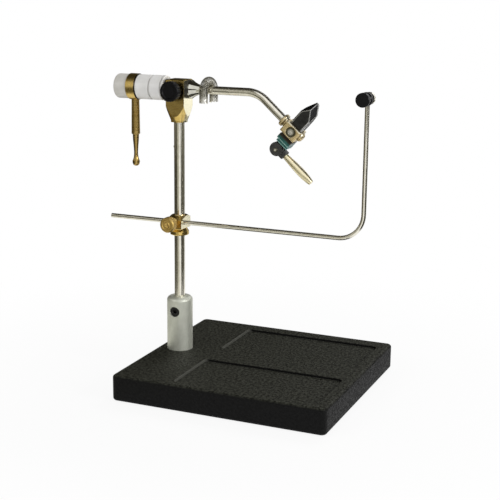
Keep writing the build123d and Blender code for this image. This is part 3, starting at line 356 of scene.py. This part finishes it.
def wrinkle_coat():
    """Black wrinkle paint: small cells with finer grain, dusty and painted lighter on top where light
    falls, painted light on the trays' walls that look to the right, and edges that are rubbed and carry a
    painted highlight.
    """
    look = Look("wrinkle_coat", shine=0.12)
    paint = (0.003, 0.003, 0.003)
    thin_dust_and_top_light = (0.009, 0.009, 0.006)
    thick_dust_and_top_light = (0.041, 0.042, 0.032)
    painted_lit_wall = (0.09, 0.09, 0.078)
    rubbed_and_lit_edge = (0.075, 0.075, 0.065)
    cells = look.cells(size=2.0, smoothness=0.6)
    look.relief(look.number("ADD", cells, look.noise(size=0.7)), depth=0.35, strength=0.8)
    # Random dust on the faces that look up, which are also painted lighter there, since light falls on the
    # top
    dust_and_top_light = look.mix(look.ramp(look.noise(size=2.4), start=0.4, end=0.6), thin_dust_and_top_light, thick_dust_and_top_light)
    tone = look.mix(look.facing(UP_WAY), paint, dust_and_top_light)
    # Painted light on the trays' walls that look to the right, towards the key lamp
    across = look.along(look.place(), ACROSS_WAY)
    inside = look.ramp(across, start=(TRAYS_END + TRAYS_FADE) * MM, end=TRAYS_END * MM)
    walls = look.number("MULTIPLY", look.facing(ACROSS_WAY), inside)
    tone = look.mix(walls, tone, painted_lit_wall)
    # Edges: rubbed wear and a painted highlight
    tone = look.mix(look.edges(width=0.9), tone, rubbed_and_lit_edge)
    return look.done(tone, look.spread(cells, low=0.48, high=0.68))


def rubber_sheet():
    """Matte non-slip sheet with a fine grain."""
    look = Look("rubber_sheet", shine=0.3)
    dark = (0.012, 0.012, 0.012)
    light = (0.025, 0.025, 0.025)
    grain = look.noise(size=0.5)
    look.relief(grain, depth=0.1)
    return look.done(look.mix(look.noise(size=6.0), dark, light), look.spread(grain, low=0.78, high=0.95))


def satin_grey():
    """Blasted satin metal with a fine grain and soft cloudiness."""
    look = Look("satin_grey", metallic=0.75)
    dark = (0.66, 0.675, 0.59)
    light = (0.74, 0.755, 0.67)
    grain = look.noise(size=0.3, detail=5.0)
    look.relief(grain, depth=0.006, rounding=0.25)
    tone = look.mix(look.ramp(look.noise(size=7.0)), dark, light)
    return look.done(tone, look.spread(grain, low=0.44, high=0.6))


def turned_metal(name, axis, light, dark, rough, joint=None, lit_right=None):
    """Turned and polished metal: fine rings round its axis, faint clouds and brighter rubbed edges.

    joint names a node whose far end gets painted shade where the next part meets it, and the last argument
    is a painted highlight tone on the faces that look to the right.
    """
    look = Look(name, metallic=1.0)
    rings = look.lines(axis, LATHE_PITCH, detail=4.0)
    look.relief(rings, LATHE_DEPTH, rounding=0.2)
    clouds = look.ramp(look.noise(size=5.0, detail=5.0))
    tone = look.mix(look.edges(width=0.2), look.mix(clouds, dark, light), light)
    if joint is not None:
        tone = look.shaded_at_joint(tone, joint, axis, RING_JOINT_SHADE)
    if lit_right is not None:
        # Painted highlight on the faces that look to the right
        tone = look.mix(look.facing(ACROSS_WAY, HIGHLIGHT_START), tone, lit_right)
    return look.done(tone, look.spread(rings, *rough))


def steel(name, axis):
    """The steel of most rods and screws."""
    return turned_metal(name, axis, STEEL_LIGHT, STEEL_DARK, STEEL_ROUGH)


def brass(name, axis, rough=BRASS_ROUGH, joint=None, lit_right=None):
    """The brass of the head, the clamp and the rings."""
    return turned_metal(name, axis, BRASS_LIGHT, BRASS_DARK, rough, joint, lit_right)


def plastic(name, light, dark, rough, shine=0.5, hollow_shade=HOLLOW_SHADE_SHARE):
    """Machined or moulded plastic with a fine grain and painted shade in its grooves."""
    look = Look(name, shine=shine)
    grain = look.noise(size=0.35, detail=4.0)
    look.relief(grain, depth=0.015, rounding=0.3)
    tone = look.mix(look.ramp(look.noise(size=8.0)), dark, light)
    # Painted shade in the grooves
    return look.done(look.shade_in_hollows(tone, dark, hollow_shade), look.spread(grain, *rough))


def treated_metal(
    name,
    light,
    dark,
    wear_and_highlight,
    metallic,
    rough,
    edge=0.25,
    sharp=EDGE_SHARP,
    way=None,
    rounding=0.3,
    joint=None,
):
    """Blackened or anodised metal with painted shade in its hollows, and a paler tone on its edges that
    stands for wear and for a painted highlight.

    way limits that to edges that look one way, and joint names a node whose far end gets painted shade
    where the next part meets it.
    """
    look = Look(name, metallic=metallic)
    scuffs = look.noise(size=1.2)
    look.relief(scuffs, depth=0.002, rounding=rounding)
    # Painted shade in hollows and next to other parts
    tone = look.shade_in_hollows(look.mix(look.ramp(look.noise(size=4.0)), dark, light), dark)
    if joint is not None:
        tone = look.shaded_at_joint(tone, joint, JAW_WAY, SEAT_JOINT_SHADE)
    # The paler edges: rubbed wear, and on the jaws, holder and seat a painted highlight
    rubbed = look.edges(edge, sharp) if way is None else look.rims(edge, way)
    return look.done(look.mix(rubbed, tone, wear_and_highlight), look.spread(scuffs, *rough))


def screw_end(owner):
    """Steel screw from front to back, with a painted highlight in the middle of its ends and painted shade
    towards the rim.
    """
    look = Look(owner + "_steel", metallic=1.0)
    rim_painted_shade = (0.1, 0.095, 0.06)
    dull = (0.62, 0.6, 0.54)
    bright = (0.95, 0.93, 0.87)
    scuffs = look.noise(size=0.8)
    look.relief(scuffs, depth=0.002, rounding=0.3)
    low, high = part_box(owner)
    radius = (high.x - low.x) / 2
    offset = look.vector("SUBTRACT", look.place(), (low + high) / 2)
    distance = look.measure("LENGTH", look.vector("MULTIPLY", offset, FRONT_PLANE))
    # Painted shade towards the rim, around a brighter middle
    rim = look.ramp(distance, SCREW_HIGHLIGHT_SHARE * radius, SCREW_RIM_SHADE_SHARE * radius)
    tone = look.mix(rim, look.mix(look.ramp(scuffs), dull, bright), rim_painted_shade)
    return look.done(tone, look.spread(scuffs, low=0.2, high=0.34))


def wire_steel():
    """Dull spring wire, with a painted highlight towards the ends of the legs."""
    look = Look("wire_steel", metallic=1.0)
    dark = (0.36, 0.35, 0.3)
    light = (0.5, 0.48, 0.42)
    bright = (0.95, 0.94, 0.9)
    scuffs = look.noise(size=0.8)
    look.relief(scuffs, depth=0.002)
    tone = look.mix(look.ramp(look.noise(size=5.0)), dark, light)
    # Painted highlight on the lower legs, which reflect the white floor
    bow_foot = SPRING_MIDDLE[2]
    start = (bow_foot - SPRING_HIGHLIGHT_START_SHARE * SPRING_LEG) * MM
    full = (bow_foot - SPRING_HIGHLIGHT_FULL_SHARE * SPRING_LEG) * MM
    ends = look.ramp(look.along(look.place(), UP_WAY), start, full)
    return look.done(look.mix(ends, tone, bright), look.spread(scuffs, low=0.22, high=0.36))


def dress(material, *members):
    """Puts a material on CAD nodes."""
    for member in members:
        materials = cad_nodes[member].data.materials
        materials.clear()
        materials.append(material)


def dress_base():
    """The base, its pad and the post that holds the stem."""
    dress(wrinkle_coat(), "base_plate")
    dress(rubber_sheet(), "base_pad")
    dress(satin_grey(), "stem_socket")


def dress_steel():
    """Bright steel rods, shaft and screws."""
    # A darker copy of the steel: painted shade that darkens the nose cone
    shaft = turned_metal(
        "shaft_steel_painted_shade", ACROSS_WAY, light=(0.68, 0.67, 0.6), dark=(0.55, 0.54, 0.47), rough=(0.05, 0.1)
    )
    dress(shaft, "rotary_shaft")
    dress(steel("upright_steel", UP_WAY), "stem", "stem_pin")
    dress(steel("rod_steel", ROD_WAY), "cradle_rod")
    dress(steel("arm_steel", ARM_WAY), "jaw_arm")
    dress(steel("screw_steel", DEPTH_WAY), "spool_screw", "tension_screw")
    dress(steel("bar_steel", JAW_WAY), "draw_bar")
    for screw in ("jaw_screw", "cam_pin"):
        dress(screw_end(screw), screw)


def dress_brass():
    """Brass of the head, crank, cradle and jaws, which differ in tone; the lever's pale brass and the pale
    right faces of the head and clamp are painted light.
    """
    crank = turned_metal(
        "crank_brass", UP_WAY, light=(0.54, 0.38, 0.13), dark=(0.41, 0.27, 0.08), rough=(0.18, 0.3)
    )
    thumb = turned_metal(
        "thumb_brass", DEPTH_WAY, light=(0.64, 0.45, 0.15), dark=(0.5, 0.34, 0.1), rough=(0.4, 0.52)
    )
    # A lit copy of the brass: the lever's pale tone is painted light
    lit_lever = turned_metal(
        "lever_brass_painted_light", ARM_WAY, light=(0.97, 0.89, 0.64), dark=(0.9, 0.8, 0.52), rough=(0.2, 0.34)
    )
    holder = treated_metal(
        "holder_brass",
        light=(0.76, 0.62, 0.35),
        dark=(0.62, 0.48, 0.24),
        # A painted highlight along the holder's edges by the jaws
        wear_and_highlight=(1.0, 0.97, 0.8),
        metallic=0.9,
        rough=(0.22, 0.34),
        edge=2.6,
        way=JAW_WAY,
        rounding=2.2,
    )
    dress(brass("collar_brass", UP_WAY), "stop_collar")
    # The head and clamp carry a painted highlight on their faces that look to the right
    dress(brass("brass_with_painted_highlight", UP_WAY, lit_right=BRASS_PAINTED_HIGHLIGHT), "head_block", "cradle_clamp")
    dress(brass("ring_brass", ACROSS_WAY, rough=(0.2, 0.34), joint="crank_ring"), "crank_ring")
    dress(crank, "crank_arm", "crank_grip")
    dress(thumb, "clamp_thumbscrew")
    dress(lit_lever, "cam_handle")
    dress(holder, "jaw_holder")


def dress_plastic():
    """White rotor pieces, black knobs and the bearings."""
    white = plastic(
        "white_plastic", light=(0.91, 0.9, 0.88), dark=(0.84, 0.83, 0.8), rough=(0.35, 0.5), hollow_shade=0.9
    )
    cap = plastic("cap_plastic", light=(0.72, 0.7, 0.65), dark=(0.63, 0.61, 0.56), rough=(0.35, 0.5))
    black = plastic(
        "black_plastic",
        light=(0.003, 0.003, 0.0045),
        dark=(0.0015, 0.0015, 0.0022),
        rough=(0.25, 0.4),
        shine=0.2,
    )
    bearing = plastic(
        "bearing_plastic", light=(0.07, 0.065, 0.05), dark=(0.05, 0.046, 0.035), rough=(0.3, 0.45)
    )
    dress(white, "rotor_sleeve")
    dress(cap, "end_cap")
    dress(black, "tension_knob", "cradle_spool", "brake_pad")
    dress(bearing, "left_bushing", "right_bushing")


def dress_treated_metal():
    """Blackened jaws, cam and screws, and the teal seat."""
    jaws = treated_metal(
        "jaw_steel",
        light=(0.055, 0.055, 0.057),
        dark=(0.03, 0.03, 0.031),
        # A painted highlight on the jaws' ridges and edges
        wear_and_highlight=(0.95, 0.95, 0.94),
        metallic=0.9,
        rough=(0.1, 0.2),
        edge=1.3,
        sharp=0.94,
    )
    cam = treated_metal(
        "cam_black",
        light=(0.06, 0.06, 0.057),
        dark=(0.035, 0.035, 0.033),
        wear_and_highlight=(0.2, 0.2, 0.19),
        metallic=0.5,
        rough=(0.3, 0.45),
    )
    oxide = treated_metal(
        "black_oxide",
        light=(0.02, 0.02, 0.02),
        dark=(0.01, 0.01, 0.01),
        wear_and_highlight=(0.12, 0.12, 0.12),
        metallic=0.5,
        rough=(0.25, 0.4),
    )
    teal = treated_metal(
        "teal_anodise",
        light=(0.06, 0.2, 0.19),
        dark=(0.035, 0.13, 0.125),
        # A painted highlight along the seat's lower edge
        wear_and_highlight=(0.6, 0.95, 0.92),
        metallic=0.9,
        rough=(0.22, 0.3),
        edge=1.8,
        way=CAM_WAY,
        joint="cam_seat",
    )
    dress(jaws, "front_jaw", "rear_jaw")
    dress(cam, "cam")
    dress(oxide, "socket_bolt", "socket_screw", "head_set_screw", "collar_set_screw", "end_screw")
    dress(teal, "cam_seat")


def spring_points():
    """Points of the spring's wire, in millimetres: up one leg, over the bow and down the other leg."""
    yaw = math.radians(SPRING_YAW)
    through = Vector((math.cos(yaw), -math.sin(yaw), 0.0))
    level = Vector((math.sin(yaw), math.cos(yaw), 0.0))
    upward = Vector(UP_WAY)
    coil = SPRING_TUBE_RADIUS - SPRING_WIRE / 2
    coils = 2 * SPRING_LEG_COILS + SPRING_BOW_COILS
    for step in range(coils * SPRING_POINTS_PER_COIL + 1):
        wound = step / SPRING_POINTS_PER_COIL
        curl = 2 * math.pi * wound
        on_bow = min(max(wound - SPRING_LEG_COILS, 0.0), SPRING_BOW_COILS)
        on_legs = wound - on_bow
        turn = math.pi * on_bow / SPRING_BOW_COILS
        below_bow = -SPRING_LEG * abs(on_legs / SPRING_LEG_COILS - 1.0)
        outward = upward * math.sin(turn) - level * math.cos(turn)
        reach = SPRING_BOW_RADIUS - coil * math.cos(curl)
        middle = Vector(SPRING_MIDDLE) + upward * below_bow
        yield middle + outward * reach + through * (coil * math.sin(curl))


def coil_spring():
    """The close-wound spring as one wire, which stands for the CAD coil."""
    points = list(spring_points())
    curve = bpy.data.curves.new("coil_spring", "CURVE")
    curve.dimensions = "3D"
    curve.bevel_depth = SPRING_WIRE / 2 * MM
    curve.bevel_resolution = SPRING_BEVEL_STEPS
    curve.use_fill_caps = True
    spline = curve.splines.new("POLY")
    spline.points.add(len(points) - 1)
    for target, point in zip(spline.points, points):
        target.co = (*(point * MM), 1.0)
    curve.materials.append(wire_steel())
    spring = bpy.data.objects.new("coil_spring", curve)
    bpy.context.scene.collection.objects.link(spring)
    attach(spring, "rotor")
    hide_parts("material_spring")


def place_camera():
    """A camera at the photo's eye point, with the photo's lens."""
    turns = (CAMERA_AZIMUTH, CAMERA_ELEVATION, CAMERA_ROLL)
    azimuth, elevation, roll = (math.radians(turn) for turn in turns)
    level_back = Vector((math.sin(azimuth), -math.cos(azimuth), 0.0))
    level_right = Vector((math.cos(azimuth), math.sin(azimuth), 0.0))
    back = level_back * math.cos(elevation) + Vector(UP_WAY) * math.sin(elevation)
    level_up = back.cross(level_right)
    right = level_right * math.cos(roll) + level_up * math.sin(roll)
    up = level_up * math.cos(roll) - level_right * math.sin(roll)
    turned = Matrix((right, up, back)).transposed().to_4x4()
    camera = bpy.data.objects.new("camera", bpy.data.cameras.new("camera"))
    camera.matrix_world = Matrix.Translation(Vector(CAMERA_EYE) * MM) @ turned
    camera.data.sensor_width = SENSOR_WIDTH
    camera.data.lens = FOCAL_PIXELS / FRAME_PIXELS * SENSOR_WIDTH
    camera.data.shift_x = -PIXEL_CENTRE / FRAME_PIXELS
    camera.data.shift_y = PIXEL_CENTRE / FRAME_PIXELS
    camera.data.clip_start = CLIP_NEAR * MM
    camera.data.clip_end = CLIP_FAR * MM
    bpy.context.scene.collection.objects.link(camera)
    bpy.context.scene.camera = camera


def make_surround():
    """A world that looks white and lights the object softly."""
    world = bpy.data.worlds.new("surround")
    surround = NodeTree(world)
    values = {"Color": (1.0, 1.0, 1.0, 1.0), "Strength": surround.seen(otherwise=SURROUND_LIGHT)}
    background = surround.node("ShaderNodeBackground", values)
    surround.node("ShaderNodeOutputWorld", {"Surface": background.outputs["Background"]})
    bpy.context.scene.world = world


def sheet(name, corners, material):
    """A flat stage piece through four corners."""
    mesh = bpy.data.meshes.new(name)
    mesh.from_pydata([tuple(v * MM for v in corner) for corner in corners], [], [(0, 1, 2, 3)])
    mesh.materials.append(material)
    made = bpy.data.objects.new(name, mesh)
    bpy.context.scene.collection.objects.link(made)
    return made


def floor_paint():
    """Pale paint that looks white, less so near the object, where it keeps the shadow."""
    material = bpy.data.materials.new("floor")
    floor = NodeTree(material)
    paint = floor.node("ShaderNodeBsdfDiffuse", {"Color": (FLOOR_PAINT, FLOOR_PAINT, FLOOR_PAINT, 1.0)})
    white = floor.node("ShaderNodeEmission")
    fade = {
        "Value": floor.measure("LENGTH", floor.place()),
        "From Min": FLOOR_NEAR * MM,
        "From Max": FLOOR_FAR * MM,
        "To Min": FLOOR_NEAR_WHITE,
        "To Max": FLOOR_FAR_WHITE,
    }
    whiteness = floor.node("ShaderNodeMapRange", fade, interpolation_type="SMOOTHSTEP")
    share = floor.number("MULTIPLY", floor.seen(otherwise=0.0), whiteness.outputs["Result"])
    shaders = {"Fac": share, 1: paint.outputs["BSDF"], 2: white.outputs["Emission"]}
    blend = floor.node("ShaderNodeMixShader", shaders)
    floor.node("ShaderNodeOutputMaterial", {"Surface": blend.outputs["Shader"]})
    return material


def make_floor():
    """A wide pale floor under the base."""
    half = FLOOR_SIZE / 2
    corners = [(-half, -half, 0.0), (half, -half, 0.0), (half, half, 0.0), (-half, half, 0.0)]
    sheet("floor", corners, floor_paint())


def card_tone(name, tone):
    """An even tone, whatever light falls on it."""
    material = bpy.data.materials.new(name)
    card = NodeTree(material)
    glow = card.node("ShaderNodeEmission", {"Color": (*tone, 1.0)})
    card.node("ShaderNodeOutputMaterial", {"Surface": glow.outputs["Emission"]})
    return material


def ring_steps(first, last):
    """Neighbouring directions round the origin, from one azimuth to another."""
    count = math.ceil((last - first) / CARD_STEP)
    turns = [math.radians(first + (last - first) * step / count) for step in range(count + 1)]
    ways = [Vector((math.sin(turn), -math.cos(turn), 0.0)) for turn in turns]
    return zip(ways, ways[1:])


def make_cards():
    """Pale and dark cards on the floor, round the sides and above, which give polished metal its bands."""
    cards = []
    upward = Vector(UP_WAY)
    lift = upward * CARD_LIFT
    for name, (first, last, near, far, tone) in FLOOR_CARDS.items():
        material = card_tone(name, tone)
        for here, there in ring_steps(first, last):
            corners = [here * near + lift, there * near + lift, there * far + lift, here * far + lift]
            cards.append(sheet(name, corners, material))
    for name, (first, last, distance, bottom, top, tone) in WALL_CARDS.items():
        material = card_tone(name, tone)
        low = upward * bottom + lift
        high = upward * top
        for here, there in ring_steps(first, last):
            left = here * distance
            right = there * distance
            cards.append(sheet(name, [left + low, right + low, right + high, left + high], material))
    for name, ((left, front), (right, back), tone) in ROOF_CARDS.items():
        outline = ((left, front), (right, front), (right, back), (left, back))
        corners = [(x, y, ROOF_HEIGHT) for x, y in outline]
        cards.append(sheet(name, corners, card_tone(name, tone)))
    for card in cards:
        card.visible_camera = False
        card.visible_diffuse = False
        card.visible_shadow = False


def make_lamps():
    """Square soft boxes that point at the middle of the object."""
    for name, (place, watts) in LAMPS.items():
        light = bpy.data.lights.new(name, "AREA")
        light.size = LAMP_SIZE * MM
        light.energy = watts
        lamp = bpy.data.objects.new(name, light)
        lamp.location = Vector(place) * MM
        lamp.rotation_euler = (Vector(place) - Vector(LAMP_TARGET)).to_track_quat("Z", "Y").to_euler()
        bpy.context.scene.collection.objects.link(lamp)


dress_base()
dress_steel()
dress_brass()
dress_plastic()
dress_treated_metal()
coil_spring()

place_camera()
make_surround()
make_floor()
make_cards()
make_lamps()
bpy.context.scene.view_settings.view_transform = "Standard"
